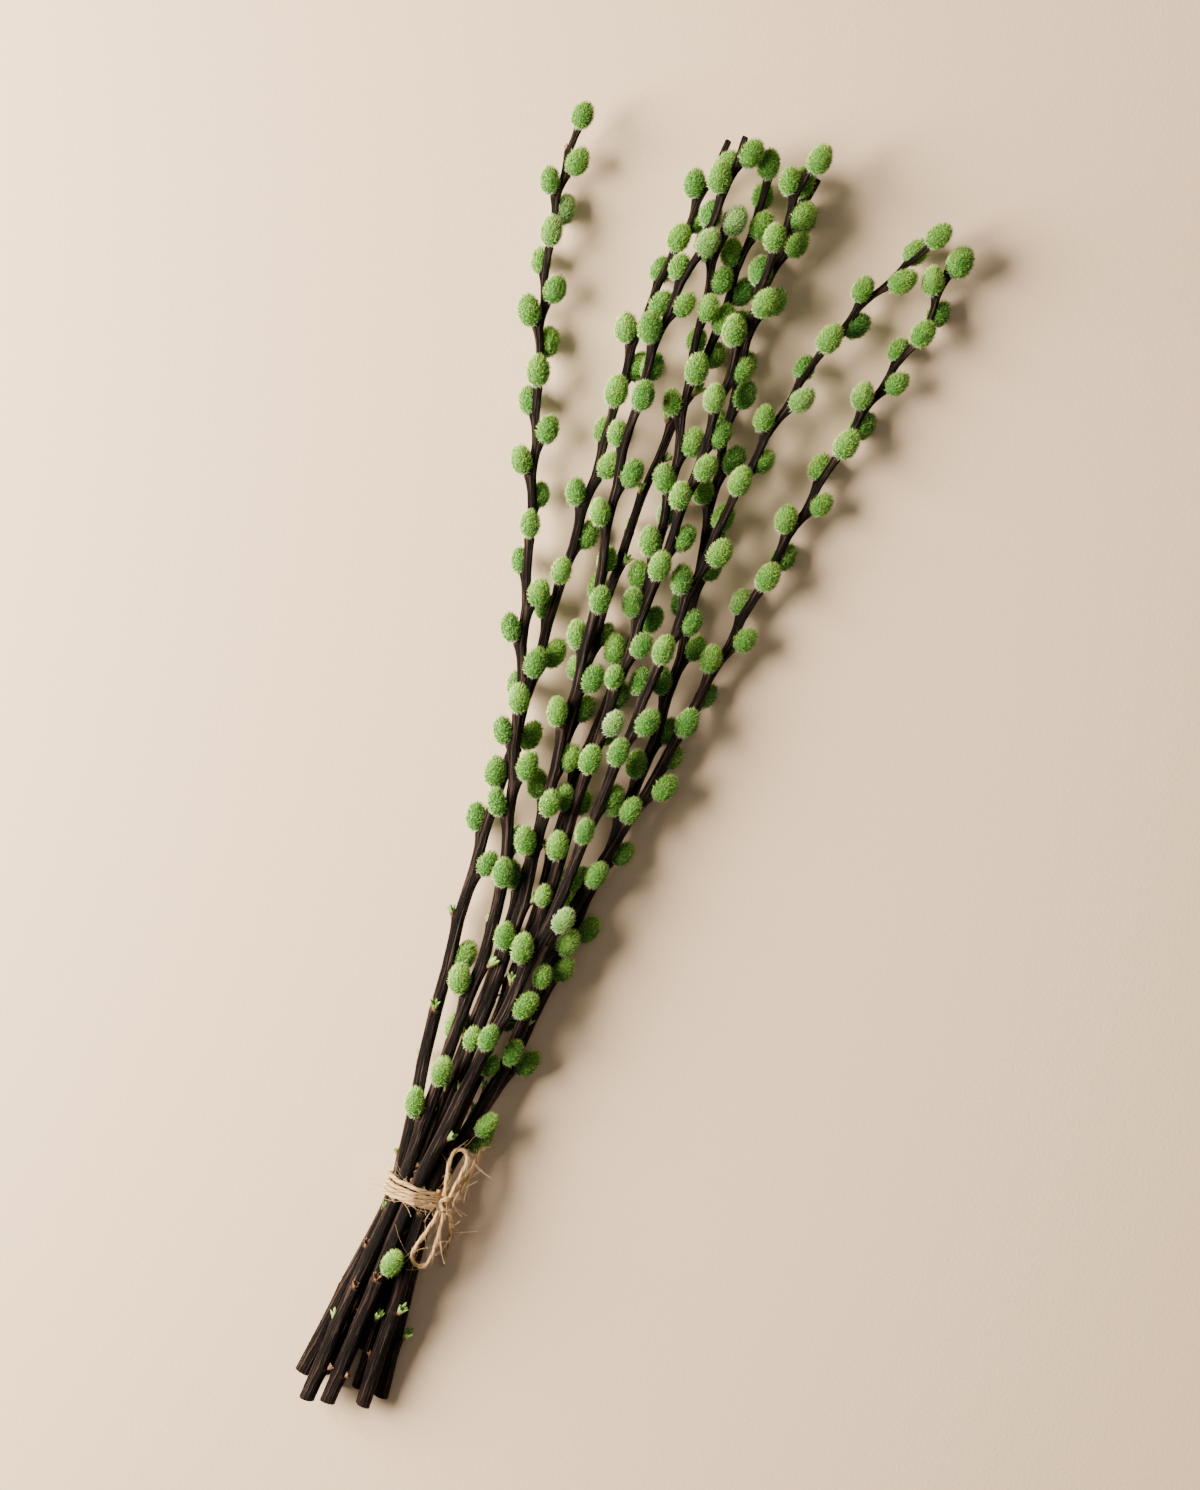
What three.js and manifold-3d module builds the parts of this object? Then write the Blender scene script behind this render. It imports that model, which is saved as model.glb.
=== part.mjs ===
// A bunch of nine cut willow twigs in bud, tied near the cut ends with jute twine and lying on
// a flat surface. Millimetres. +Y runs along the bunch from the cut ends to the tips, +X lies
// across it and +Z points up. The origin is under the middle of the whole bunch, on the surface.

import * as THREE from 'three';
import { mergeVertices } from 'three/addons/utils/BufferGeometryUtils.js';
import Module from 'manifold-3d';

const wasm = await Module();
wasm.setup();

// ---- driving dimensions ------------------------------------------------------------------

const CENTER = new THREE.Vector3(8.99, -0.75, 0.15); // the foot of the middle of the bunch's box

const STEM_SIDES = 6;
const STEM_STEP = 26;                 // one straight stretch of a stem
const TAPER = 1.1;                    // above 1 keeps the lower half of a stem stout

const TIE_Y = -235;                   // where the twine binds the bunch
const TIE_X = 2.5;                    // the axis of the tied bundle
const TIE_Z = 17.9;
const TIE_RING = 10.6;                // eight stems stand on this ring, about the ninth
const TIE_STEM = 3.75;                // the stoutest stem at the tie, as a radius
const TIE_ROOM = 1.1;                 // between the stems and the twine, as they fan out

const CATKIN_LENGTH = 16.5;           // a catkin is an egg of fur on a firm core
const CATKIN_RADIUS = 5.8;
const CATKIN_CORE = 0.87;             // the firm part under the fur, as a share of the radius
const CATKIN_SIDES = 5;
const CATKIN_STAND = 4.7;             // from the stem's surface to the catkin's axis
const CATKIN_LEAN = 14;               // degrees away from the stem
const CATKIN_TURN = 144;              // two turns of the stem hold five buds
const CATKIN_CLEAR = 0.5;             // room left round a catkin
const TIP_SPACING = 13;               // between buds at the tip
const BUTT_SPACING = 26;              // and at the cut end
const OLD_WOOD = 0.38;                // share of a stem that is old wood
const FIRST_CATKIN = 0.2;             // share of a stem below which buds stay shut
const OPEN_YOUNG = 0.96;              // share of the buds that have opened on young wood
const OPEN_OLD = 0.75;                // and on old wood

const CORD = 2.3;                     // thickness of the twine
const CORD_SIDES = 8;
const CORD_STEP = 3;                  // one straight stretch of the twine
const WRAP_TURNS = 4;                 // side by side round the bundle
const KNOT = new THREE.Vector3(19.6, -235.5, 28);
const KNOT_HALF = new THREE.Vector3(2.7, 3.9, 2.9);

// A point of a stem on the ring of the tie, seen along +Y, with 90 degrees at the top.
const tied = (degrees, ring = TIE_RING) => [
  TIE_X + ring * Math.cos(THREE.MathUtils.degToRad(degrees)),
  TIE_Y,
  TIE_Z + ring * Math.sin(THREE.MathUtils.degToRad(degrees)),
];

// Each twig's way from its cut end, through the tie, to its tip. butt and tip are radii, last
// is how far the last bud stands from the tip, gap spreads the buds out along the twig and phase
// turns their spiral. One twig has a bare stretch, whose buds have dropped, and two have an early
// catkin lower down than the rest.
const TWIGS = [
  { name: 'twig_1', butt: 4.0, tip: 1.7, last: 7, gap: 1, phase: 90, route: [
    [-17, -359, 13], [-11.5, -295, 20.5], tied(136), [-4, -160, 22], [-4, -80, 21], [-21, 0, 21],
    [-42, 80, 17], [-64, 160, 14], [-86, 240, 13], [-96, 300, 13], [-96, 334, 15]] },
  { name: 'twig_2', butt: 4.0, tip: 1.7, last: 19, gap: 1.2, phase: 30, route: [
    [-24, -348, 4.15], [-15.8, -295, 11.5], tied(181), [-16, -160, 12], [-22, -80, 11],
    [-24, 0, 11], [-27, 80, 12], [-29, 160, 13], [-31, 240, 13], [-24, 300, 13], [-19, 347, 15]] },
  { name: 'twig_3', butt: 3.8, tip: 1.7, last: 16, gap: 1.25, phase: 0, route: [
    [4, -324, 12.5], tied(0, 0), [6, -160, 20], [8, -80, 21], [1, 0, 23], [-5, 80, 24],
    [-17, 160, 25], [-20, 240, 26], [-12, 300, 27], [-11, 350, 28]] },
  { name: 'twig_4', butt: 3.9, tip: 1.8, last: 12, gap: 1.2, phase: 60, route: [
    [-5, -350, 4.15], [0, -295, 5], tied(270), [13, -160, 8], [16, -80, 10], [13, 0, 12],
    [18, 80, 14], [12, 160, 20], [-1, 240, 21], [-7, 310, 18]] },
  { name: 'twig_5', butt: 3.9, tip: 1.7, last: 10, gap: 1.2, phase: 120, bare: [440, 560], route: [
    [-14, -345, 4.15], [-9, -295, 5.6], tied(226), [3, -160, 9], [5, -80, 10], [2, 0, 12],
    [-1, 80, 12], [-1, 160, 12], [7, 240, 12], [9, 343, 14]] },
  { name: 'twig_6', butt: 4.0, tip: 1.7, last: 5, gap: 1.2, phase: 45, route: [
    [13, -353, 12], [12, -295, 18.4], tied(45), [14, -160, 17], [20, -80, 19], [18, 0, 22],
    [19, 80, 24], [21, 160, 25], [22, 240, 26], [26, 347, 27]] },
  { name: 'twig_7', butt: 4.0, tip: 1.8, last: 14, gap: 1.2, phase: 150,
    early: { s: 142, degrees: 6 }, route: [
      [8, -346, 4.15], [9, -295, 6], tied(315), [28, -160, 8], [37, -80, 10], [45, 0, 11],
      [45, 80, 12], [35, 160, 12], [26, 240, 12], [27, 300, 13], [34, 343, 15]] },
  { name: 'twig_8', butt: 4.0, tip: 1.4, last: 5, gap: 1.15, phase: 100,
    early: { s: 78, degrees: 62 }, route: [
      [-6, -357, 14], [-1.5, -295, 22], tied(91), [13, -160, 28], [24, -80, 29], [30, 0, 28],
      [37, 80, 26], [44, 160, 24], [60, 240, 19], [80, 292, 15], [103, 331, 16]] },
  { name: 'twig_9', butt: 4.0, tip: 1.5, last: 6, gap: 1, phase: 10, route: [
    [20, -347, 4.15], [16, -295, 11.2], tied(0), [26, -160, 16], [32, -80, 18], [50, 0, 17],
    [65, 80, 14], [80, 160, 13], [98, 240, 13], [113, 290, 13], [113, 322, 15]] },
];

// The bow is tied on top of the right-hand stems. Each way starts at the knot, and a loop's way
// also ends there.
const BOW = {
  bow_loop_upper: [[18.2, -231.3, 28.2], [17.3, -226, 28.6], [16.3, -220.5, 28.5],
    [15.4, -215.2, 27.9], [15.2, -210.4, 27], [16.6, -206.7, 26.2], [19.6, -205.4, 25.5],
    [22.6, -206.9, 25], [23.8, -210.8, 25.1], [23.5, -215.6, 25.8], [22.8, -220.8, 26.8],
    [21.9, -226, 27.6], [21, -231.3, 28]],
  bow_loop_lower: [[18.2, -239.7, 28.5], [17.3, -244.8, 29.1], [16, -250, 29.4],
    [14.5, -255.2, 29.2], [12.9, -260.3, 28.6], [12.2, -265.2, 27.7], [13.6, -269.2, 26.9],
    [17, -270.9, 26.2], [20.4, -269.4, 25.7], [22, -265.4, 25.5], [22.3, -260.2, 25.7],
    [22.1, -255, 26.2], [21.8, -249.8, 26.9], [21.4, -244.7, 27.5], [21, -239.7, 28]],
  tail_upper: [[23.1, -233.6, 27.4], [24.2, -229.8, 26.4], [25.3, -225.4, 24.8],
    [26.3, -220.8, 22.8], [27.1, -216.2, 20.8], [27.9, -211.8, 19], [28.6, -207.6, 17.5],
    [29.2, -203.8, 16.5]],
  tail_lower: [[23, -237.4, 27.4], [24.6, -240.4, 25.6], [26, -243.2, 22.2],
    [26.9, -245.8, 18], [27.5, -248.6, 13.4], [27.9, -252, 8.8], [28.1, -256.2, 4.8],
    [28.2, -261, 2.4], [28.2, -266.4, 1.6]],
};

// ---- materials ---------------------------------------------------------------------------

const bark = new THREE.MeshStandardMaterial({ color: 0x3a2a25, roughness: 0.75, metalness: 0 });
const jute = new THREE.MeshStandardMaterial({ color: 0xc8a57d, roughness: 0.9, metalness: 0 });

// ---- joining -----------------------------------------------------------------------------

function solid(geometry) {
  const bare = geometry.clone();
  bare.deleteAttribute('normal');
  bare.deleteAttribute('uv');
  const merged = mergeVertices(bare, 1e-4);
  return new wasm.Manifold(new wasm.Mesh({
    numProp: 3,
    vertProperties: new Float32Array(merged.attributes.position.array),
    triVerts: new Uint32Array(merged.index.array),
  }));
}

function geometryOf(body) {
  const mesh = body.getMesh();
  const geometry = new THREE.BufferGeometry();
  geometry.setAttribute('position', new THREE.BufferAttribute(mesh.vertProperties, 3));
  geometry.setIndex(new THREE.BufferAttribute(mesh.triVerts, 1));
  geometry.computeVertexNormals();
  return geometry;
}

// ---- stems -------------------------------------------------------------------------------

// A twig's centre line: points a millimetre or two apart, each with its distance from the butt.
function centreLine(route) {
  const curve = new THREE.CatmullRomCurve3(
    route.map((p) => new THREE.Vector3(...p)), false, 'catmullrom', 0.5);
  const points = curve.getPoints(40 * (route.length - 1));
  const along = [0];
  for (let i = 1; i < points.length; i += 1) {
    along.push(along[i - 1] + points[i].distanceTo(points[i - 1]));
  }
  return { points, along, length: along[along.length - 1] };
}

// The place on a centre line at a distance from the butt, with the stem's own directions:
// ahead towards the tip, side towards +X and up towards +Z.
function placeAt(line, distance) {
  const s = THREE.MathUtils.clamp(distance, 0, line.length);
  let i = 1;
  while (i < line.along.length - 1 && line.along[i] < s) i += 1;
  const part = (s - line.along[i - 1]) / (line.along[i] - line.along[i - 1]);
  const ahead = line.points[i].clone().sub(line.points[i - 1]).normalize();
  const side = new THREE.Vector3().crossVectors(ahead, new THREE.Vector3(0, 0, 1)).normalize();
  return {
    point: line.points[i - 1].clone().lerp(line.points[i], part),
    ahead,
    side,
    up: new THREE.Vector3().crossVectors(side, ahead),
  };
}

const stemRadius = (twig, s) =>
  twig.butt + (twig.tip - twig.butt) * (s / twig.line.length) ** TAPER;

// A stem is a tapered rod, turned on a lathe and then bent onto the twig's centre line.
function stemGeometry(twig) {
  const steps = Math.round(twig.line.length / STEM_STEP);
  const outline = [new THREE.Vector2(0, 0)];
  for (let i = 0; i <= steps; i += 1) {
    const s = twig.line.length * i / steps;
    outline.push(new THREE.Vector2(stemRadius(twig, s), s));
  }
  outline.push(new THREE.Vector2(0, twig.line.length));
  const rod = new THREE.LatheGeometry(outline, STEM_SIDES);
  const corner = rod.attributes.position;
  for (let i = 0; i < corner.count; i += 1) {
    const place = placeAt(twig.line, corner.getY(i));
    place.point.addScaledVector(place.side, corner.getX(i));
    place.point.addScaledVector(place.up, corner.getZ(i));
    corner.setXYZ(i, place.point.x, place.point.y, place.point.z);
  }
  return rod;
}

// ---- catkins -----------------------------------------------------------------------------

// A repeatable number from 0 to 1 for the nth bud of a twig.
function chance(twigIndex, bud, salt) {
  const wave = Math.sin(twigIndex * 12.9898 + bud * 78.233 + salt * 37.719) * 43758.5453;
  return wave - Math.floor(wave);
}

// A catkin's axis as a short line with a radius, for a bud at a place and a turn of the spiral.
function catkinAt(twig, s, degrees, size) {
  const place = placeAt(twig.line, s);
  const turn = THREE.MathUtils.degToRad(degrees);
  const lean = THREE.MathUtils.degToRad(CATKIN_LEAN);
  const out = place.side.clone().multiplyScalar(Math.cos(turn));
  out.addScaledVector(place.up, Math.sin(turn));
  const axis = place.ahead.clone().multiplyScalar(Math.cos(lean));
  axis.addScaledVector(out, Math.sin(lean));
  const radius = CATKIN_RADIUS * size;
  const half = CATKIN_LENGTH * size / 2;
  const stand = stemRadius(twig, s) + CATKIN_STAND * size;
  const centre = place.point.clone().addScaledVector(out, stand);
  centre.addScaledVector(place.ahead, half * Math.cos(lean));
  return { centre, axis, out, radius, half, size, root: place.point, twig };
}

const coreEnds = (catkin) => [-1, 1].map((end) =>
  catkin.centre.clone().addScaledVector(catkin.axis, end * (catkin.half - catkin.radius)));

// The shortest distance between two lines' stretches a to b and c to d.
function stretchDistance(a, b, c, d) {
  const u = b.clone().sub(a);
  const v = d.clone().sub(c);
  const w = a.clone().sub(c);
  const uu = u.dot(u);
  const uv = u.dot(v);
  const vv = v.dot(v);
  const uw = u.dot(w);
  const vw = v.dot(w);
  const flat = uu * vv - uv * uv;
  let s = flat > 1e-9 ? THREE.MathUtils.clamp((uv * vw - vv * uw) / flat, 0, 1) : 0;
  const t = THREE.MathUtils.clamp((uv * s + vw) / vv, 0, 1);
  s = THREE.MathUtils.clamp((uv * t - uw) / uu, 0, 1);
  return a.clone().addScaledVector(u, s).distanceTo(c.clone().addScaledVector(v, t));
}

// A catkin only grows where the surface, the other stems and the other catkins leave it room.
function hasRoom(catkin, catkins) {
  const [low, high] = coreEnds(catkin);
  if (Math.min(low.z, high.z) < catkin.radius + CENTER.z) return false;
  for (const other of catkins) {
    const room = catkin.radius + other.radius + CATKIN_CLEAR;
    if (catkin.centre.distanceTo(other.centre) > room + catkin.half + other.half) continue;
    if (stretchDistance(low, high, ...coreEnds(other)) < room) return false;
  }
  for (const twig of TWIGS) {
    if (twig === catkin.twig) continue;
    for (let i = 0; i + 1 < twig.joints.length; i += 1) {
      const [a, b] = [twig.joints[i], twig.joints[i + 1]];
      const room = catkin.radius + a.radius + CATKIN_CLEAR;
      if (stretchDistance(low, high, a.point, b.point) < room) return false;
    }
  }
  return true;
}

// Every opened bud of the bunch. A crowded catkin turns a little round its stem, or stays small.
function growCatkins() {
  const catkins = [];
  const turns = [0, 24, -24, 48, -48, 72, -72];
  TWIGS.forEach((twig, index) => {
    if (twig.early) catkins.push(catkinAt(twig, twig.early.s, twig.early.degrees, 1));
    let bud = 0;
    let s = twig.line.length - twig.last;
    while (s > FIRST_CATKIN * twig.line.length) {
      const share = s / twig.line.length;
      const opened = chance(index, bud, 1) < (share > OLD_WOOD ? OPEN_YOUNG : OPEN_OLD);
      const dropped = twig.bare && s > twig.bare[0] && s < twig.bare[1];
      if (opened && !dropped) {
        const full = 0.88 + 0.18 * chance(index, bud, 2);
        const choices = [full, full * 0.8].flatMap((size) => turns.map((turn) =>
          catkinAt(twig, s, twig.phase + CATKIN_TURN * bud + turn, size)));
        const chosen = choices.find((catkin) => hasRoom(catkin, catkins));
        if (chosen) catkins.push(chosen);
      }
      const spacing = twig.gap * THREE.MathUtils.lerp(BUTT_SPACING, TIP_SPACING, share);
      s -= spacing * (0.88 + 0.24 * chance(index, bud, 3));
      bud += 1;
    }
  });
  return catkins;
}

// A catkin is an egg turned on a lathe, with its base drawn in to the bud on the stem.
function catkinGeometry({ centre, axis, radius, half, root, twig }) {
  const egg = new THREE.LatheGeometry([
    new THREE.Vector2(0, -half),
    new THREE.Vector2(radius * CATKIN_CORE, -half * 0.4),
    new THREE.Vector2(radius * CATKIN_CORE, half * 0.4),
    new THREE.Vector2(0, half),
  ], CATKIN_SIDES);
  egg.applyQuaternion(new THREE.Quaternion().setFromUnitVectors(new THREE.Vector3(0, 1, 0), axis));
  egg.translate(centre.x, centre.y, centre.z);
  const base = centre.clone().addScaledVector(axis, -half);
  const corner = egg.attributes.position;
  const inside = root.clone().lerp(base, 0.25);
  for (let i = 0; i < corner.count; i += 1) {
    if (new THREE.Vector3().fromBufferAttribute(corner, i).distanceTo(base) < 0.01) {
      corner.setXYZ(i, inside.x, inside.y, inside.z);
    }
  }
  return egg;
}

// ---- twine -------------------------------------------------------------------------------

function cordGeometry(way) {
  const path = new THREE.CatmullRomCurve3(
    way.map((p) => new THREE.Vector3(...p)), false, 'catmullrom', 0.5);
  const section = new THREE.Shape(Array.from({ length: CORD_SIDES }, (_, i) => {
    const turn = 2 * Math.PI * i / CORD_SIDES;
    return new THREE.Vector2(Math.cos(turn), Math.sin(turn)).multiplyScalar(CORD / 2);
  }));
  const steps = Math.round(path.getLength() / CORD_STEP);
  return new THREE.ExtrudeGeometry(section, { extrudePath: path, steps, bevelEnabled: false });
}

// An outline that goes round the ring of stems, as tight twine does.
function roundTheStems(outline, radius) {
  for (let corner = 0; corner < 8; corner += 1) {
    const [x, , z] = tied(45 * corner);
    const turn = Math.PI / 4 * corner;
    outline.absarc(x - TIE_X, z - TIE_Z, radius, turn - Math.PI / 8, turn + Math.PI / 8, false);
  }
  return outline;
}

function wrapsGeometry() {
  const inner = TIE_STEM + TIE_ROOM;
  const ring = roundTheStems(new THREE.Shape(), inner + CORD);
  ring.holes.push(roundTheStems(new THREE.Path(), inner));
  const depth = WRAP_TURNS * CORD;
  const wraps = new THREE.ExtrudeGeometry(ring, { depth, curveSegments: 2, bevelEnabled: false });
  wraps.translate(0, 0, -depth / 2);
  wraps.rotateX(Math.PI / 2);
  wraps.translate(TIE_X, TIE_Y, TIE_Z);
  return wraps;
}

function knotGeometry() {
  const knot = new THREE.SphereGeometry(1, 8, 6);
  knot.scale(...KNOT_HALF);
  knot.translate(...KNOT);
  return knot;
}

// ---- the bunch ---------------------------------------------------------------------------

const bunch = new THREE.Group();

function place(name, geometry, material) {
  const mesh = new THREE.Mesh(geometry, material);
  mesh.name = name;
  mesh.position.copy(CENTER).negate();
  bunch.add(mesh);
}

for (const twig of TWIGS) {
  twig.line = centreLine(twig.route);
  const steps = Math.round(twig.line.length / STEM_STEP);
  twig.joints = Array.from({ length: steps + 1 }, (_, i) => {
    const s = twig.line.length * i / steps;
    return { point: placeAt(twig.line, s).point, radius: stemRadius(twig, s) };
  });
}
const catkins = growCatkins();
for (const twig of TWIGS) {
  let body = solid(stemGeometry(twig));
  for (const catkin of catkins.filter((each) => each.twig === twig)) {
    body = body.add(solid(catkinGeometry(catkin)));
  }
  // The small hollows shut in between a catkin and its stem are filled.
  const [outside] = body.decompose().sort((a, b) => b.volume() - a.volume());
  place(twig.name, geometryOf(outside), bark);
}

place('twine_wraps', geometryOf(solid(wrapsGeometry())), jute);
place('twine_knot', geometryOf(solid(knotGeometry())), jute);
for (const [name, way] of Object.entries(BOW)) {
  place(name, geometryOf(solid(cordGeometry(way))), jute);
}

export default bunch;
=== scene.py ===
import math

import bmesh
import bpy
import numpy as np
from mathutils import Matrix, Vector


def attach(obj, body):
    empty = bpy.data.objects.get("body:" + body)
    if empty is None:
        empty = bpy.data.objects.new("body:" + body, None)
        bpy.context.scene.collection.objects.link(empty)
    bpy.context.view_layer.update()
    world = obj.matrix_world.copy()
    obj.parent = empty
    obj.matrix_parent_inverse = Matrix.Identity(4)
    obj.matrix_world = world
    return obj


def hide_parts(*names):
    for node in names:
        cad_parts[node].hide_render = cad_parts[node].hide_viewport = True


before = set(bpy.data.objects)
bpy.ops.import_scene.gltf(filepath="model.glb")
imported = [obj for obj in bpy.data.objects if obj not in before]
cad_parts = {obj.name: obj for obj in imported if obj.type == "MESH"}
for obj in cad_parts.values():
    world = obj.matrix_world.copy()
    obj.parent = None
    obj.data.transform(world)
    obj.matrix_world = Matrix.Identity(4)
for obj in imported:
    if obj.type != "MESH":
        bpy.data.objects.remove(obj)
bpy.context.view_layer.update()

# ---- camera ------------------------------------------------------------------------------
# The bunch lies on a table and is looked at from straight above. The camera is turned a
# little, so that the tips lean to the right.

CAMERA_HEIGHT = 1.9
CAMERA_TURN = 18.7
BUNCH_MIDDLE = 0.02                   # the height at which the view is VIEW_HEIGHT tall
VIEW_HEIGHT = 0.79
VIEW_CENTRE = (0.0108, 0.0214)

camera_data = bpy.data.cameras.new("camera")
camera_data.sensor_fit = "VERTICAL"
camera_data.sensor_height = 24
camera_data.lens = camera_data.sensor_height * (CAMERA_HEIGHT - BUNCH_MIDDLE) / VIEW_HEIGHT
camera = bpy.data.objects.new("camera", camera_data)
camera.location = (*VIEW_CENTRE, CAMERA_HEIGHT)
camera.rotation_euler = (0, 0, math.radians(CAMERA_TURN))
bpy.context.scene.collection.objects.link(camera)
bpy.context.scene.camera = camera

# ---- twine -------------------------------------------------------------------------------
# One length of two-ply jute twine, wound four times round the stems and tied on top in a
# small bow. It is a limp, hairy cord twisted from two strands. Sizes are in millimetres.

MM = 0.001
FOOT = np.array([8.99, -0.75, 0.15])  # the point of the bunch that stands at the origin
TIE = np.array([2.5, -235.0, 17.9])   # the middle of the tie
TIE_RING = 10.6                       # where eight stems stand round the middle one
STEM_TURN = 45                        # the degrees from each of the eight to the next
STEM_AT_TIE = 3.9                     # and their radius there
CORD = 2.3
CORD_SIDES = 20
CORD_STEP = 0.5
LAY_LENGTH = 17.0                     # one full twist of the two strands
GROOVE_DEPTH = 0.30                   # of the radius, between the strands
WRAP_TURNS = 4
WRAP_PITCH = 2.45                     # from turn to turn, where they lie closest
WRAP_FAN = 0.5                        # how much more they spread on the left
WRAP_SLACK = 0.3
WRAP_WANDER = 0.35
KNOT = np.array([19.6, -235.5, 28.0])
KNOT_TURNS = 2.3
KNOT_SIZE = (1.55, 3.1, 1.75)
KNOT_POINTS = 140
BOW = {
    "bow_loop_upper": [
        [18.2, -231.3, 28.2], [17.3, -226, 28.6], [16.3, -220.5, 28.5], [15.4, -215.2, 27.9],
        [15.2, -210.4, 27], [16.6, -206.7, 26.2], [19.6, -205.4, 25.5], [22.6, -206.9, 25],
        [23.8, -210.8, 25.1], [23.5, -215.6, 25.8], [22.8, -220.8, 26.8], [21.9, -226, 27.6],
        [21, -231.3, 28]],
    "bow_loop_lower": [
        [18.2, -239.7, 28.5], [17.3, -244.8, 29.1], [16, -250, 29.4], [14.5, -255.2, 29.2],
        [12.9, -260.3, 28.6], [12.2, -265.2, 27.7], [13.6, -269.2, 26.9], [17, -270.9, 26.2],
        [20.4, -269.4, 25.7], [22, -265.4, 25.5], [22.3, -260.2, 25.7], [22.1, -255, 26.2],
        [21.8, -249.8, 26.9], [21.4, -244.7, 27.5], [21, -239.7, 28]],
    "tail_upper": [
        [23.1, -233.6, 27.4], [24.2, -229.8, 26.4], [25.3, -225.4, 24.8], [26.3, -220.8, 22.8],
        [27.1, -216.2, 20.8], [27.9, -211.8, 19], [28.6, -207.6, 17.5], [29.2, -203.8, 16.5]],
    "tail_lower": [
        [23, -237.4, 27.4], [24.6, -240.4, 25.6], [26, -243.2, 22.2], [26.9, -245.8, 18],
        [27.5, -248.6, 13.4], [27.9, -252, 8.8], [28.1, -256.2, 4.8], [28.2, -261, 2.4],
        [28.2, -266.4, 1.6]],
}


def smooth_way(points, per_stretch=40):
    """Points along a smooth curve through the given ones."""
    p = np.array(points, float)
    p = np.vstack([2 * p[0] - p[1], p, 2 * p[-1] - p[-2]])
    t = np.linspace(0, 1, per_stretch, endpoint=False)[:, None]
    way = []
    for a, b, c, d in zip(p[:-3], p[1:-2], p[2:-1], p[3:]):
        m, n = 0.5 * (c - a), 0.5 * (d - b)
        way.append(b + m * t + (3 * (c - b) - 2 * m - n) * t**2 + (2 * (b - c) + m + n) * t**3)
    return np.vstack([*way, p[-2:-1]])


def distances(way):
    """How far along the way each of its points is."""
    return np.r_[0, np.cumsum(np.linalg.norm(np.diff(way, axis=0), axis=1))]


def even_way(way, step):
    """The same way with points a step apart."""
    along = distances(way)
    s = np.linspace(0, along[-1], max(2, round(along[-1] / step) + 1))
    return np.stack([np.interp(s, along, way[:, i]) for i in range(3)], axis=1)


def carried_frames(way):
    """Two directions across the way at each point, carried along without twisting."""
    ahead = np.gradient(way, axis=0)
    ahead /= np.linalg.norm(ahead, axis=1)[:, None]
    side = np.cross(ahead[0], [0, 0, 1.0])
    sides = []
    for t in ahead:
        side = side - t * (side @ t)
        side /= np.linalg.norm(side)
        sides.append(side)
    sides = np.array(sides)
    return sides, np.cross(sides, ahead)


def mesh_piece(name, rings):
    """A smooth skin over rings of points, in millimetres, with its ends closed."""
    count, sides = rings.shape[:2]
    points = rings.reshape(-1, 3)
    i, j = np.meshgrid(np.arange(count - 1), np.arange(sides), indexing="ij")
    k = (j + 1) % sides
    faces = np.stack([i * sides + j, i * sides + k, (i + 1) * sides + k, (i + 1) * sides + j], -1)
    faces = faces.reshape(-1, 4).tolist()
    first, last = len(points), len(points) + 1
    points = np.vstack([points, rings[0].mean(axis=0), rings[-1].mean(axis=0)])
    top = (count - 1) * sides
    faces += [[first, (q + 1) % sides, q] for q in range(sides)]
    faces += [[last, top + q, top + (q + 1) % sides] for q in range(sides)]
    mesh = bpy.data.meshes.new(name)
    mesh.from_pydata((points - FOOT) * MM, [], faces)
    mesh.validate()
    build = bmesh.new()
    build.from_mesh(mesh)
    bmesh.ops.recalc_face_normals(build, faces=build.faces)
    build.to_mesh(mesh)
    build.free()
    mesh.polygons.foreach_set("use_smooth", [True] * len(mesh.polygons))
    piece = bpy.data.objects.new(name, mesh)
    bpy.context.scene.collection.objects.link(piece)
    return piece


def set_point_values(piece, name, values):
    """A number on each point of the mesh, for its material to read."""
    piece.data.attributes.new(name, "FLOAT", "POINT").data.foreach_set("value", values)


def twine_piece(name, way):
    """A cord of two strands loosely twisted together, following the way."""
    way = even_way(way, CORD_STEP)
    side, up = carried_frames(way)
    angle = np.linspace(0, 2 * math.pi, CORD_SIDES, endpoint=False)[None, :]
    s = distances(way)[:, None]
    turn = angle - 2 * math.pi * s / LAY_LENGTH + 0.4 * np.sin(s * 0.35)
    fullness = 1 + 0.05 * np.sin(s * 0.9 + len(name)) + 0.03 * np.sin(s * 2.3)
    strands = 1 - GROOVE_DEPTH + GROOVE_DEPTH * np.abs(np.cos(turn)) ** 0.7
    fibres = 0.025 * np.sin(9 * turn + 0.3 * s) + 0.02 * np.sin(7 * turn - 0.5 * s)
    radius = CORD / 2 * fullness * (strands + fibres)
    across = side[:, None] * np.cos(angle)[..., None] + up[:, None] * np.sin(angle)[..., None]
    piece = mesh_piece(name, way[:, None] + across * radius[..., None])
    groove = np.abs(np.sin(turn)).ravel()
    along = np.broadcast_to(s, turn.shape).ravel()
    for label, values in (("groove", groove), ("along", along),
                          ("turn_x", np.cos(turn).ravel()), ("turn_y", np.sin(turn).ravel())):
        set_point_values(piece, label, np.r_[values, values[0], values[-1]])
    return piece, (way - FOOT) * MM


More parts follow.
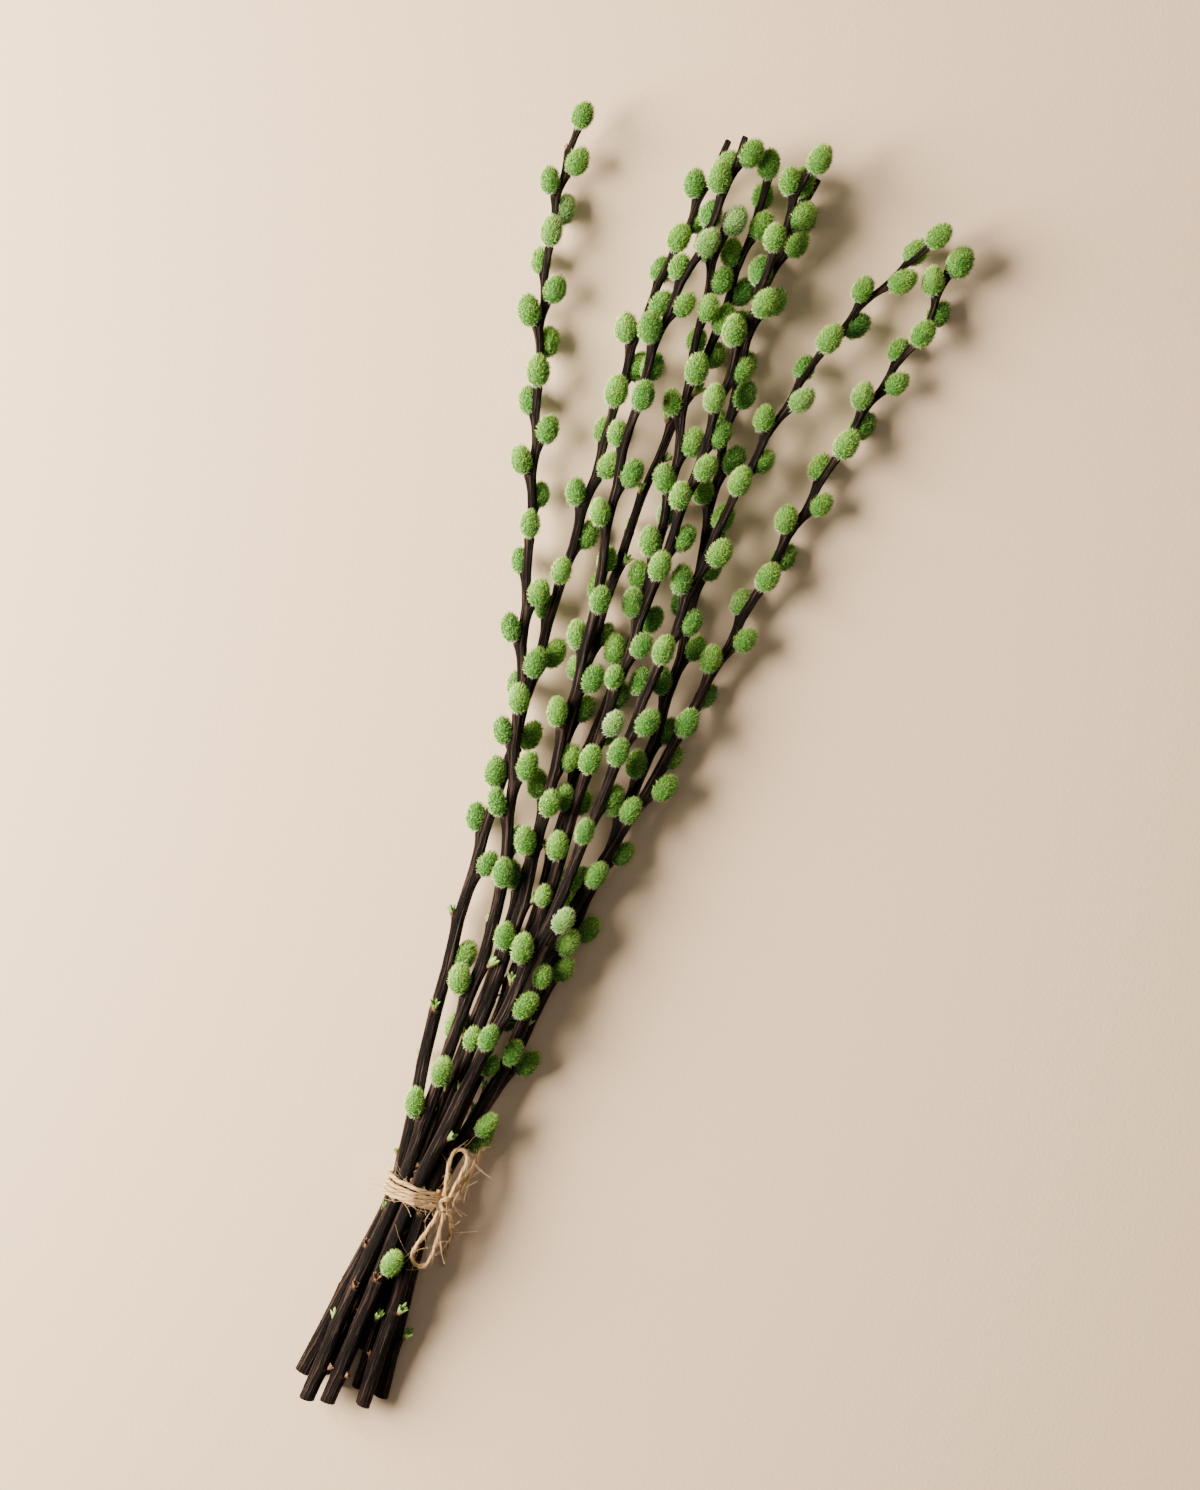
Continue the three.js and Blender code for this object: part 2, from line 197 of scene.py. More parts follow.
class Value:
    """A socket of a material's nodes, with Python's operators for the maths on it."""

    def __init__(self, material, socket):
        self.material, self.socket = material, socket

    def node(self, kind, inputs=None, out=0, **settings):
        """Any other node: its settings first, then the values or links of its sockets."""
        made = self.material.node_tree.nodes.new(kind)
        for key, setting in settings.items():
            setattr(made, key, setting)
        for key, value in (inputs or {}).items():
            if isinstance(value, Value):
                self.material.node_tree.links.new(value.socket, made.inputs[key])
            else:
                made.inputs[key].default_value = value
        return Value(self.material, made.outputs[out])

    def maths(self, operation, *values):
        inputs = dict(enumerate(values))
        return self.node("ShaderNodeMath", inputs, operation=operation)

    def __add__(self, other):
        return self.maths("ADD", self, other)

    __radd__ = __add__

    def __sub__(self, other):
        return self.maths("SUBTRACT", self, other)

    def __rsub__(self, other):
        return self.maths("SUBTRACT", other, self)

    def __mul__(self, other):
        return self.maths("MULTIPLY", self, other)

    __rmul__ = __mul__

    def __pow__(self, other):
        return self.maths("POWER", self, other)

    def clamped(self):
        return self.node("ShaderNodeClamp", {0: self})

    def mixed(self, low, high):
        """A colour between two, by this value."""
        return self.node("ShaderNodeMix", {0: self, 6: low, 7: high}, out=2, data_type="RGBA")


def new_material(name, **settings):
    """A material, its Principled shader and a first Value to build from."""
    material = bpy.data.materials.new(name)
    material.use_nodes = True
    shader = material.node_tree.nodes["Principled BSDF"]
    for key, setting in settings.items():
        shader.inputs[key.replace("_", " ").title()].default_value = setting
    return material, shader, Value(material, None)


def feed(material, shader, **values):
    """Links values to the shader's sockets of the same names."""
    for key, value in values.items():
        material.node_tree.links.new(value.socket, shader.inputs[key.replace("_", " ").title()])


def attribute(start, name):
    return start.node("ShaderNodeAttribute", attribute_name=name, out=2)


def rgb(red, green, blue):
    return (red, green, blue, 1)


jute, shader, start = new_material(
    "jute_twine", roughness=0.82, sheen_weight=0.12, sheen_roughness=0.5)
along, groove = attribute(start, "along"), attribute(start, "groove")
lines = start.node("ShaderNodeCombineXYZ", {
    0: attribute(start, "turn_x") * 2.4, 1: attribute(start, "turn_y") * 2.4, 2: along * 0.09})
fibre = start.node("ShaderNodeTexNoise", {
    "Vector": lines, "Scale": 2.4, "Detail": 6.0, "Roughness": 0.72})
place = start.node("ShaderNodeTexCoord", out=3)
blotch = start.node("ShaderNodeTexNoise", {"Vector": place, "Scale": 150.0, "Detail": 2.0})
straw = ((fibre - 0.36) * 2.8).clamped().mixed(rgb(0.46, 0.23, 0.075), rgb(1.0, 0.72, 0.34))
straw = ((blotch - 0.4) * 1.6).clamped().mixed(straw, rgb(0.90, 0.56, 0.23))
straw = (attribute(start, "loose") * 0.5).mixed(straw, rgb(0.98, 0.74, 0.42))
# Painted shade: the grooves between the two strands are darkened towards a deep brown.
straw = (groove ** 7 * 0.8).clamped().mixed(straw, rgb(0.17, 0.085, 0.035))
bump = start.node("ShaderNodeBump", {"Height": fibre, "Strength": 0.8, "Distance": 0.0005})
feed(jute, shader, base_color=straw, normal=bump)


def outward(degrees):
    """The direction across the bunch at an angle, with 90 degrees at the top."""
    turn = np.radians(degrees)
    return np.stack([np.cos(turn), np.zeros_like(turn), np.sin(turn)], axis=-1)


turn = np.linspace(30, 30 + 360 * WRAP_TURNS, 97 * WRAP_TURNS)
corner = np.round(turn / STEM_TURN) * STEM_TURN
bend = np.clip((turn - corner) / (STEM_TURN / 2), -1, 1)
slack = WRAP_SLACK * np.sin(np.radians(turn) * 1.37 + 1)
wrap_way = TIE + (TIE_RING + slack)[:, None] * outward(corner)
wrap_way += (STEM_AT_TIE + CORD / 2) * outward(corner + STEM_TURN / 2 * bend)
pitch = WRAP_PITCH + WRAP_FAN * (1 - np.cos(np.radians(turn - 45)))
lift = (turn - turn.mean()) / 360 * pitch + WRAP_WANDER * np.sin(np.radians(turn) * 0.73)
wrap_way += np.outer(lift, [0, 1, 0])
wraps, wraps_path = twine_piece("twine_wraps_cord", wrap_way)
twine_pieces = {"twine_wraps": (wraps, wraps_path, "coiled", "knot")}
twine_ways = [wrap_way]
for name, way in BOW.items():
    far_end = "knot" if "loop" in name else "bare"
    twine_ways.append(smooth_way(way))
    twine_pieces[name] = (*twine_piece(name + "_cord", twine_ways[-1]), "loose", far_end)

knot_turn = np.linspace(0, 2 * math.pi * KNOT_TURNS, KNOT_POINTS)
knot_way = KNOT + np.stack([
    KNOT_SIZE[0] * np.cos(knot_turn) + 0.3 * np.sin(0.5 * knot_turn),
    KNOT_SIZE[1] * np.sin(knot_turn * 0.46 - 1.6) + 0.35 * np.cos(knot_turn),
    KNOT_SIZE[2] * np.sin(knot_turn)], axis=1)
knot, _ = twine_piece("twine_knot_cord", knot_way)
twine_ways.append(knot_way)

for node, (piece, path, lay, far_end) in twine_pieces.items():
    piece.data.materials.append(jute)
    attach(piece, "root")
    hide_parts(node)
knot.data.materials.append(jute)
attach(knot, "root")
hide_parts("twine_knot")

# ---- loose fibres of the twine -----------------------------------------------------------
# Jute is spun from short stiff fibres, so single ones stand off it all along. Most are a
# millimetre or two of fuzz, a few are long, and the bare ends of the tails are frayed.

FUZZ_PER_MM = 2.0
FUZZ_LENGTH = 0.9                     # of the shortest; others are up to FUZZ_LONGER more
FUZZ_LONGER = 1.4
LONG_FIBRE = 19.0                     # how far the rare longest ones go beyond that
FIBRE_RADIUS = 0.065
FIBRE_ROOT = 0.36                     # of the cord's thickness, out from its middle
FRAYED_FIBRES = 26                    # at each bare end
FRAYED_LENGTHS = (2.5, 8.5)
TABLE_GAP = 0.0001                    # metres between the table top and what lies flat on it


class Tree:
    """A Geometry Nodes tree, with its named inputs, built one node at a time."""

    def __init__(self, name, **inputs):
        self.tree = bpy.data.node_groups.new(name, "GeometryNodeTree")
        face = self.tree.interface
        kinds = {float: "Float", int: "Int", type(None): "Material"}
        face.new_socket("Points", in_out="INPUT", socket_type="NodeSocketGeometry")
        for label, value in inputs.items():
            made = face.new_socket(
                label.replace("_", " ").title(), in_out="INPUT",
                socket_type="NodeSocket" + kinds[type(value)])
            if value is not None:
                made.default_value = value
        face.new_socket("Geometry", in_out="OUTPUT", socket_type="NodeSocketGeometry")
        self.given = self.tree.nodes.new("NodeGroupInput").outputs

    def node(self, kind, inputs=None, **settings):
        made = self.tree.nodes.new(kind)
        for key, setting in settings.items():
            setattr(made, key, setting)
        for key, value in (inputs or {}).items():
            if isinstance(value, bpy.types.NodeSocket):
                self.tree.links.new(value, made.inputs[key])
            else:
                made.inputs[key].default_value = value
        return made.outputs

    def maths(self, operation, a, b=0.0, c=0.0):
        return self.node("ShaderNodeMath", {0: a, 1: b, 2: c}, operation=operation)[0]

    def point(self, x=0.0, y=0.0, z=0.0):
        return self.node("ShaderNodeCombineXYZ", {0: x, 1: y, 2: z})[0]

    def parts(self, vector):
        return self.node("ShaderNodeSeparateXYZ", {0: vector})

    def vector(self, operation, a, b=(0, 0, 0), scale=None):
        inputs = {0: a, 1: b} if scale is None else {0: a, "Scale": scale}
        return self.node("ShaderNodeVectorMath", inputs, operation=operation)[0]

    def position(self):
        return self.node("GeometryNodeInputPosition")[0]

    def named(self, name, kind="FLOAT"):
        return self.node("GeometryNodeInputNamedAttribute", {"Name": name}, data_type=kind)[0]

    def stored(self, geometry, name, value):
        return self.node("GeometryNodeStoreNamedAttribute", {
            "Geometry": geometry, "Name": name, "Value": value}, data_type="FLOAT")[0]

    def moved(self, geometry, position):
        return self.node("GeometryNodeSetPosition", {
            "Geometry": geometry, "Position": position})[0]

    def aimed(self, primary, secondary):
        """A rotation that takes Z to the first direction and X towards the second."""
        return self.node("FunctionNodeAxesToRotation", {
            "Primary Axis": primary, "Secondary Axis": secondary},
            primary_axis="Z", secondary_axis="X")[0]

    def random(self, seed, low=0.0, high=1.0):
        """A different number on each point."""
        return self.node("FunctionNodeRandomValue", {
            "Min": low, "Max": high, "Seed": seed}, data_type="FLOAT")[1]

    def placed(self, points, shape, rotation, scale):
        made = self.node("GeometryNodeInstanceOnPoints", {
            "Points": points, "Instance": shape, "Rotation": rotation, "Scale": scale})[0]
        return self.node("GeometryNodeRealizeInstances", {"Geometry": made})[0]

    def joined(self, *geometries):
        made = self.tree.nodes.new("GeometryNodeJoinGeometry")
        for geometry in geometries:
            self.tree.links.new(geometry, made.inputs[0])
        return made.outputs[0]

    def finish(self, geometry, material):
        """What dips below the table top lies flat on it; then the material is set."""
        x, y, z = self.parts(self.position())
        lying = self.moved(geometry, self.point(x, y, self.maths("MAXIMUM", z, TABLE_GAP)))
        smooth = self.node("GeometryNodeSetShadeSmooth", {"Geometry": lying})[0]
        whole = self.node("GeometryNodeRealizeInstances", {"Geometry": smooth})[0]
        done = self.node("GeometryNodeSetMaterial", {
            "Geometry": whole, "Material": material})[0]
        self.tree.links.new(done, self.tree.nodes.new("NodeGroupOutput").inputs[0])
        return self.tree


def grown_piece(name, tree, places, values, inputs):
    """The tree's result on one point per place, in millimetres, as a plain mesh."""
    points = bpy.data.meshes.new(name + "_points")
    points.from_pydata(((np.array(places) - FOOT) * MM).tolist(), [], [])
    for label, each in values.items():
        each = np.array(each, float)
        kind, field = ("FLOAT", "value") if each.ndim == 1 else ("FLOAT_VECTOR", "vector")
        points.attributes.new(label, kind, "POINT").data.foreach_set(field, each.ravel())
    piece = bpy.data.objects.new(name + "_seed", points)
    bpy.context.scene.collection.objects.link(piece)
    modifier = piece.modifiers.new("grow", "NODES")
    modifier.node_group = tree
    for item in tree.interface.items_tree:
        if item.in_out == "INPUT" and item.name in inputs:
            modifier[item.identifier] = inputs[item.name]
    bpy.context.view_layer.update()
    ready = piece.evaluated_get(bpy.context.evaluated_depsgraph_get())
    mesh = bpy.data.meshes.new_from_object(ready)
    mesh.name = name
    bpy.data.objects.remove(piece)
    grown = bpy.data.objects.new(name, mesh)
    bpy.context.scene.collection.objects.link(grown)
    return grown


def fibre_tree():
    """A thin curved fibre on each point, along its own direction and of its own length."""
    t = Tree("twine_fibres", radius=FIBRE_RADIUS * MM, material=None)
    fibre = t.node("GeometryNodeCurveQuadraticBezier", {
        "Resolution": 5, "Start": (0, 0, 0), "Middle": (0.02, 0, 0.55),
        "End": (0.34, 0.08, 0.95)})[0]
    turn = t.aimed(t.named("lie", "FLOAT_VECTOR"), t.named("bend", "FLOAT_VECTOR"))
    hairs = t.placed(t.given["Points"], fibre, turn, t.named("length"))
    ring = t.node("GeometryNodeCurvePrimitiveCircle", {
        "Resolution": 3, "Radius": t.given["Radius"]})
    tubes = t.node("GeometryNodeCurveToMesh", {
        "Curve": hairs, "Profile Curve": ring[0], "Fill Caps": True})[0]
    return t.finish(tubes, t.given["Material"])


rng = np.random.default_rng(5)
fibre_at, fibre_lie, fibre_length = [], [], []
for way in twine_ways:
    way = even_way(way, CORD_STEP)
    side, up = carried_frames(way)
    ahead = np.cross(up, side)
    count = int(distances(way)[-1] * FUZZ_PER_MM)
    k = rng.integers(1, len(way) - 1, count)
    turn = rng.uniform(0, 2 * math.pi, count)[:, None]
    out = side[k] * np.cos(turn) + up[k] * np.sin(turn)
    lie = out * rng.uniform(0.35, 0.9, (count, 1)) + ahead[k] * rng.choice([-1, 1], (count, 1))
    fibre_at += (way[k] + out * CORD * FIBRE_ROOT).tolist()
    fibre_lie += (lie + rng.normal(0, 0.15, (count, 3))).tolist()
    longer = FUZZ_LONGER * rng.random(count) + LONG_FIBRE * rng.random(count) ** 8
    fibre_length += (FUZZ_LENGTH + longer).tolist()
for name in ("tail_upper", "tail_lower"):
    way = np.array(BOW[name], float)
    ahead = (way[-1] - way[-2]) / np.linalg.norm(way[-1] - way[-2])
    spread = rng.normal(0, 0.42, (FRAYED_FIBRES, 3))
    back = rng.uniform(0, 2.5, (FRAYED_FIBRES, 1))
    fibre_at += (way[-1] - ahead * back + 0.45 * spread).tolist()
    fibre_lie += (ahead + 0.55 * spread).tolist()
    fibre_length += rng.uniform(*FRAYED_LENGTHS, FRAYED_FIBRES).tolist()
lie = np.array(fibre_lie)
lie /= np.linalg.norm(lie, axis=1)[:, None]
bend = rng.normal(0, 1, lie.shape)
bend -= lie * np.sum(bend * lie, axis=1)[:, None]
along = rng.uniform(0, 400, len(lie))
fibres = grown_piece("twine_fibres", fibre_tree(), fibre_at, {
    "lie": lie, "bend": bend, "length": np.array(fibre_length) * MM, "along": along,
    "turn_x": rng.uniform(-1, 1, len(lie)), "turn_y": rng.uniform(-1, 1, len(lie)),
    "loose": np.ones(len(lie))},
    {"Material": jute})
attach(fibres, "root")

# ---- the way each twig runs --------------------------------------------------------------
# Nine cut willow twigs lie together, one in the middle of the tie and eight round it, and
# fan out towards their tips. Each is thickest at the cut end and tapers evenly.

# A twig's butt and tip are radii, and its route runs from one to the other. Its last bud is
# that far from the tip, turned to its phase, and a wider gap spaces its buds out. Early is a
# catkin by itself lower down, and bare is a stretch that has lost its catkins.

TAPER = 1.1


def tied(degrees, ring=TIE_RING):
    """A point of a stem on the ring of the tie, with 90 degrees at the top."""
    return (TIE + ring * outward(np.array(float(degrees)))).tolist()


TWIGS = [
    dict(name="twig_1", butt=4.0, tip=1.7, last=7, gap=1, phase=90, route=[
        [-17, -359, 13], [-11.5, -295, 20.5], tied(136), [-4, -160, 22], [-4, -80, 21],
        [-21, 0, 21], [-42, 80, 17], [-64, 160, 14], [-86, 240, 13], [-96, 300, 13],
        [-96, 334, 15]]),
    dict(name="twig_2", butt=4.0, tip=1.7, last=19, gap=1.2, phase=30, route=[
        [-24, -348, 4.15], [-15.8, -295, 11.5], tied(181), [-16, -160, 12], [-22, -80, 11],
        [-24, 0, 11], [-27, 80, 12], [-29, 160, 13], [-31, 240, 13], [-24, 300, 13],
        [-19, 347, 15]]),
    dict(name="twig_3", butt=3.8, tip=1.7, last=16, gap=1.25, phase=0, route=[
        [4, -324, 12.5], tied(0, 0), [6, -160, 20], [8, -80, 21], [1, 0, 23], [-5, 80, 24],
        [-17, 160, 25], [-20, 240, 26], [-12, 300, 27], [-11, 350, 28]]),
    dict(name="twig_4", butt=3.9, tip=1.8, last=12, gap=1.2, phase=60, route=[
        [-5, -350, 4.15], [0, -295, 5], tied(270), [13, -160, 8], [16, -80, 10], [13, 0, 12],
        [18, 80, 14], [12, 160, 20], [-1, 240, 21], [-7, 310, 18]]),
    dict(name="twig_5", butt=3.9, tip=1.7, last=10, gap=1.2, phase=120, bare=(440, 560), route=[
        [-14, -345, 4.15], [-9, -295, 5.6], tied(226), [3, -160, 9], [5, -80, 10], [2, 0, 12],
        [-1, 80, 12], [-1, 160, 12], [7, 240, 12], [9, 343, 14]]),
    dict(name="twig_6", butt=4.0, tip=1.7, last=5, gap=1.2, phase=45, route=[
        [13, -353, 12], [12, -295, 18.4], tied(45), [14, -160, 17], [20, -80, 19],
        [18, 0, 22], [19, 80, 24], [21, 160, 25], [22, 240, 26], [26, 347, 27]]),
    dict(name="twig_7", butt=4.0, tip=1.8, last=14, gap=1.2, phase=150, early=(142, 6), route=[
        [8, -346, 4.15], [9, -295, 6], tied(315), [28, -160, 8], [37, -80, 10], [45, 0, 11],
        [45, 80, 12], [35, 160, 12], [26, 240, 12], [27, 300, 13], [34, 343, 15]]),
    dict(name="twig_8", butt=4.0, tip=1.4, last=5, gap=1.15, phase=100, early=(78, 62), route=[
        [-6, -357, 14], [-1.5, -295, 22], tied(91), [13, -160, 28], [24, -80, 29], [30, 0, 28],
        [37, 80, 26], [44, 160, 24], [60, 240, 19], [80, 292, 15], [103, 331, 16]]),
    dict(name="twig_9", butt=4.0, tip=1.5, last=6, gap=1, phase=10, route=[
        [20, -347, 4.15], [16, -295, 11.2], tied(0), [26, -160, 16], [32, -80, 18],
        [50, 0, 17], [65, 80, 14], [80, 160, 13], [98, 240, 13], [113, 290, 13],
        [113, 322, 15]]),
]
for twig in TWIGS:
    twig["line"] = smooth_way(twig["route"])
    twig["along"] = distances(twig["line"])
    twig["length"] = twig["along"][-1]


def stem_radius(twig, s):
    return twig["butt"] + (twig["tip"] - twig["butt"]) * (s / twig["length"]) ** TAPER


def place_at(twig, distance):
    """The point at a distance from the butt, with the stem's directions ahead, side and up."""
    s = min(max(distance, 0), twig["length"])
    line, along = twig["line"], twig["along"]
    i = min(max(int(np.searchsorted(along, s)), 1), len(along) - 1)
    part = (s - along[i - 1]) / (along[i] - along[i - 1])
    ahead = line[i] - line[i - 1]
    ahead = ahead / np.linalg.norm(ahead)
    side = np.cross(ahead, [0, 0, 1])
    side = side / np.linalg.norm(side)
    return line[i - 1] + (line[i] - line[i - 1]) * part, ahead, side, np.cross(side, ahead)


# ---- where the buds and catkins stand ----------------------------------------------------
# Buds stand round each twig in a spiral, two turns to five buds. Nearly every bud on the
# young wood has opened into a catkin, and fewer on the old. Crowded ones turn or stay small.

CATKIN_LENGTH = 16.5
CATKIN_RADIUS = 5.8
CATKIN_STAND = 4.7                    # from the bark to the middle of the catkin
CATKIN_LEAN = 14.0
CATKIN_TURN = 144.0
CATKIN_CLEAR = 0.5
CATKIN_SIZES = (0.88, 0.18)           # the smallest grown one, and how much more it may be
CATKIN_SMALL = 0.8
CATKIN_ASIDE = (0, 24, -24, 48, -48, 72, -72)
TIP_SPACING = 13.0
BUTT_SPACING = 26.0
SPACING_VARIES = (0.88, 0.24)
LAST_BUD = 12.0                       # from the cut end
OLD_WOOD = 0.38                       # the share of a twig's length that is old wood
FIRST_CATKIN = 0.2                    # and the share that bears no catkin
OPEN_YOUNG = 0.96
OPEN_OLD = 0.75
STRETCH = 26.0                        # the stems keep room in straight stretches this long


def chance(twig_index, bud, salt):
    """A number from 0 to 1 that is always the same for the same bud."""
    wave = math.sin(twig_index * 12.9898 + bud * 78.233 + salt * 37.719) * 43758.5453
    return wave - math.floor(wave)


def catkin_at(twig, s, degrees, size):
    """Where a catkin stands when its bud is at distance s, turned round the stem."""
    point, ahead, side, up = place_at(twig, s)
    turn, lean = math.radians(degrees), math.radians(CATKIN_LEAN)
    out = side * math.cos(turn) + up * math.sin(turn)
    axis = ahead * math.cos(lean) + out * math.sin(lean)
    radius, half = CATKIN_RADIUS * size, CATKIN_LENGTH * size / 2
    centre = point + out * (stem_radius(twig, s) + CATKIN_STAND * size)
    centre = centre + ahead * (half * math.cos(lean))
    return dict(centre=centre, axis=axis, out=out, radius=radius, size=size, s=s,
                degrees=degrees, low=centre - axis * (half - radius),
                high=centre + axis * (half - radius))


def stretch_distances(a, b, c, d):
    """The shortest distances between the stretch a to b and each stretch c to d."""
    u, v, w = b - a, d - c, a - c
    uu, uv, vv = u @ u, v @ u, np.sum(v * v, axis=1)
    uw, vw = w @ u, np.sum(v * w, axis=1)
    flat = uu * vv - uv * uv
    slanted = flat > 1e-9
    s = np.where(slanted, np.clip((uv * vw - vv * uw) / np.where(slanted, flat, 1), 0, 1), 0)
    t = np.clip((uv * s + vw) / vv, 0, 1)
    s = np.clip((uv * t - uw) / uu, 0, 1)
    return np.linalg.norm(a + s[:, None] * u - c - t[:, None] * v, axis=1)


def has_room(catkin, grown, stems):
    """Whether a catkin clears the table, the catkins already grown and the other stems."""
    low, high = catkin["low"], catkin["high"]
    if min(low[2], high[2]) < catkin["radius"] + FOOT[2]:
        return False
    for starts, ends, radii in (grown, stems):
        if len(starts):
            room = catkin["radius"] + radii + CATKIN_CLEAR
            if np.any(stretch_distances(low, high, starts, ends) < room):
                return False
    return True


for twig in TWIGS:
    steps = round(twig["length"] / STRETCH)
    s = twig["length"] * np.arange(steps + 1) / steps
    points = np.array([place_at(twig, each)[0] for each in s])
    twig["stretches"] = (points[:-1], points[1:], stem_radius(twig, s[:-1]))

every_catkin = []
for index, twig in enumerate(TWIGS):
    twig["catkins"], twig["buds"] = [], []
    others = [other["stretches"] for other in TWIGS if other is not twig]
    stems = tuple(np.concatenate(parts) for parts in zip(*others))
    if "early" in twig:
        every_catkin.append(catkin_at(twig, *twig["early"], 1))
        twig["catkins"].append(every_catkin[-1])
    bud, s = 0, twig["length"] - twig["last"]
    while s > LAST_BUD:
        share = s / twig["length"]
        degrees = twig["phase"] + CATKIN_TURN * bud
        opened = chance(index, bud, 1) < (OPEN_YOUNG if share > OLD_WOOD else OPEN_OLD)
        dropped = "bare" in twig and twig["bare"][0] < s < twig["bare"][1]
        chosen = None
        if opened and not dropped and share > FIRST_CATKIN:
            grown = (np.array([c["low"] for c in every_catkin]).reshape(-1, 3),
                     np.array([c["high"] for c in every_catkin]).reshape(-1, 3),
                     np.array([c["radius"] for c in every_catkin]))
            full = CATKIN_SIZES[0] + CATKIN_SIZES[1] * chance(index, bud, 2)
            for size in (full, full * CATKIN_SMALL):
                for turn in CATKIN_ASIDE:
                    tried = catkin_at(twig, s, degrees + turn, size)
                    if chosen is None and has_room(tried, grown, stems):
                        chosen = tried
        if chosen:
            every_catkin.append(chosen)
            twig["catkins"].append(chosen)
        twig["buds"].append((s, chosen["degrees"] if chosen else degrees, chosen))
        spacing = twig["gap"] * (BUTT_SPACING + (TIP_SPACING - BUTT_SPACING) * share)
        s -= spacing * (SPACING_VARIES[0] + SPACING_VARIES[1] * chance(index, bud, 3))
        bud += 1
print("catkins", [len(twig["catkins"]) for twig in TWIGS])

# ---- stems -------------------------------------------------------------------------------
# Each stem is willow wood under dark wrinkled bark, cut off on the slant. It swells towards
# every bud and steps back behind it, so it runs in a slight zigzag from bud to bud.

STEM_SIDES = 40
STEM_STEP = 2.0
SHOULDER = 13.0                       # the length over which the stem swells below a bud
SHOULDER_YOUNG = 2.3                  # and how far it stands out there
SHOULDER_OLD = 1.5
STEP_BACK = 1.0                       # the length over which it steps back behind the bud
SHUT_SHOULDER = 0.7                   # the share of that below a bud that stays shut
TIE_REACH = 40.0                      # shoulders flatten this near the tie
ZIGZAG = 0.7
RIDGES = ((4, 0.10), (9, 0.10), (14, 0.11))
CUT_SLANT = 0.14
TABLE_SKIN = 0.05                     # what the lowest bark keeps from the table top


def stem_piece(index, twig):
    """A stem with its zigzag, the shoulder below each bud and its lengthwise ridges."""
    node_s = np.array([bud[0] for bud in twig["buds"]])[::-1]
    node_turn = np.radians([bud[1] for bud in twig["buds"]])[::-1]
    grown = np.array([bud[2] is not None for bud in twig["buds"]])[::-1]
    even = np.arange(1.0, twig["length"] - 0.4, STEM_STEP)
    steps = np.concatenate([node_s + shift for shift in (-0.5, 0.3, 1.0)])
    s = np.unique(np.round(np.r_[0, 0.35, even, steps, twig["length"] - 0.3, twig["length"]], 2))
    s = s[(s >= 0) & (s <= twig["length"])]
    places = [place_at(twig, each) for each in s]
    line, ahead, side, up = (np.array([p[i] for p in places]) for i in range(4))
    angle = np.linspace(0, 2 * math.pi, STEM_SIDES, endpoint=False)[None, :]
    radius = stem_radius(twig, s)[:, None] * np.ones_like(angle)
    share = node_s / twig["length"]
    height = SHOULDER_OLD + (SHOULDER_YOUNG - SHOULDER_OLD) * np.clip((share - 0.25) / 0.3, 0, 1)
    height = height * np.where(grown, 1.0, SHUT_SHOULDER)
    node_y = np.array([place_at(twig, each)[0][1] for each in node_s])
    height = height * np.clip(np.abs(node_y - TIE[1]) / TIE_REACH, 0.12, 1)
    bulge, scar = np.zeros_like(radius), np.zeros_like(radius)
    for at, turn, tall in zip(node_s, node_turn, height):
        rise = np.clip((s - at + SHOULDER) / SHOULDER, 0, 1) ** 2.4
        fall = np.where(s <= at, 1, np.clip(1 - (s - at) / STEP_BACK, 0.12, 1))
        fade = np.clip(1 - (s - at - 1) / 5, 0, 1)
        towards = np.clip(np.cos(angle - turn), 0, 1) ** 1.3
        bulge += tall * (rise * fall * fade)[:, None] * towards
        scar += np.exp(-((s - at + 0.2) / 1.1) ** 2)[:, None] * towards ** 2
    drift = (0.25 * np.sin(s * 0.021 + index) + index)[:, None]
    ridge = np.zeros_like(radius)
    for count, tall in RIDGES:
        strength = 0.65 + 0.35 * np.sin(s * 0.043 * (1 + count / 20) + count + index)[:, None]
        wave = np.sin(count * (angle + drift) + 0.7 * np.sin(s * 0.05)[:, None])
        ridge += tall * strength * wave
    full = radius * (1 + 0.02 * np.sin(s * 0.09 + index)[:, None]) + bulge
    full += ridge * np.clip(radius / 4, 0.4, 1)
    full[0] *= 0.90
    full[-1] *= 0.82
    bend_side = np.interp(s, node_s, ZIGZAG * height / SHOULDER_YOUNG * np.cos(node_turn))
    bend_up = np.interp(s, node_s, ZIGZAG * height / SHOULDER_YOUNG * np.sin(node_turn))
    line = line + side * bend_side[:, None] + up * bend_up[:, None]
    across = side[:, None] * np.cos(angle)[..., None] + up[:, None] * np.sin(angle)[..., None]
    rings = line[:, None] + across * full[..., None]
    slant = CUT_SLANT * np.cos(angle[0] - index * 1.9)
    for end, strength in ((0, 1.0), (1, 0.8), (-1, 1.0), (-2, 0.6)):
        rings[end] += ahead[end] * (strength * slant * full[end])[:, None]
    rings[..., 2] = np.maximum(rings[..., 2], FOOT[2] + TABLE_SKIN)
    stem = mesh_piece(f"{twig['name']}_stem", rings)
    along = np.broadcast_to(s[:, None], radius.shape)
    around = np.broadcast_to(angle, radius.shape)
    for label, values, middle in (
            ("along", along, None), ("around_x", np.cos(around), 0),
            ("around_y", np.sin(around), 0), ("crest", bulge, 0), ("scar", scar, 0),
            ("ridge", ridge / 0.3, 0), ("pith", 0 * radius, 1)):
        ends = [values[0, 0], values[-1, 0]] if middle is None else [middle, middle]
        set_point_values(stem, label, np.r_[values.ravel(), ends])
    return stem


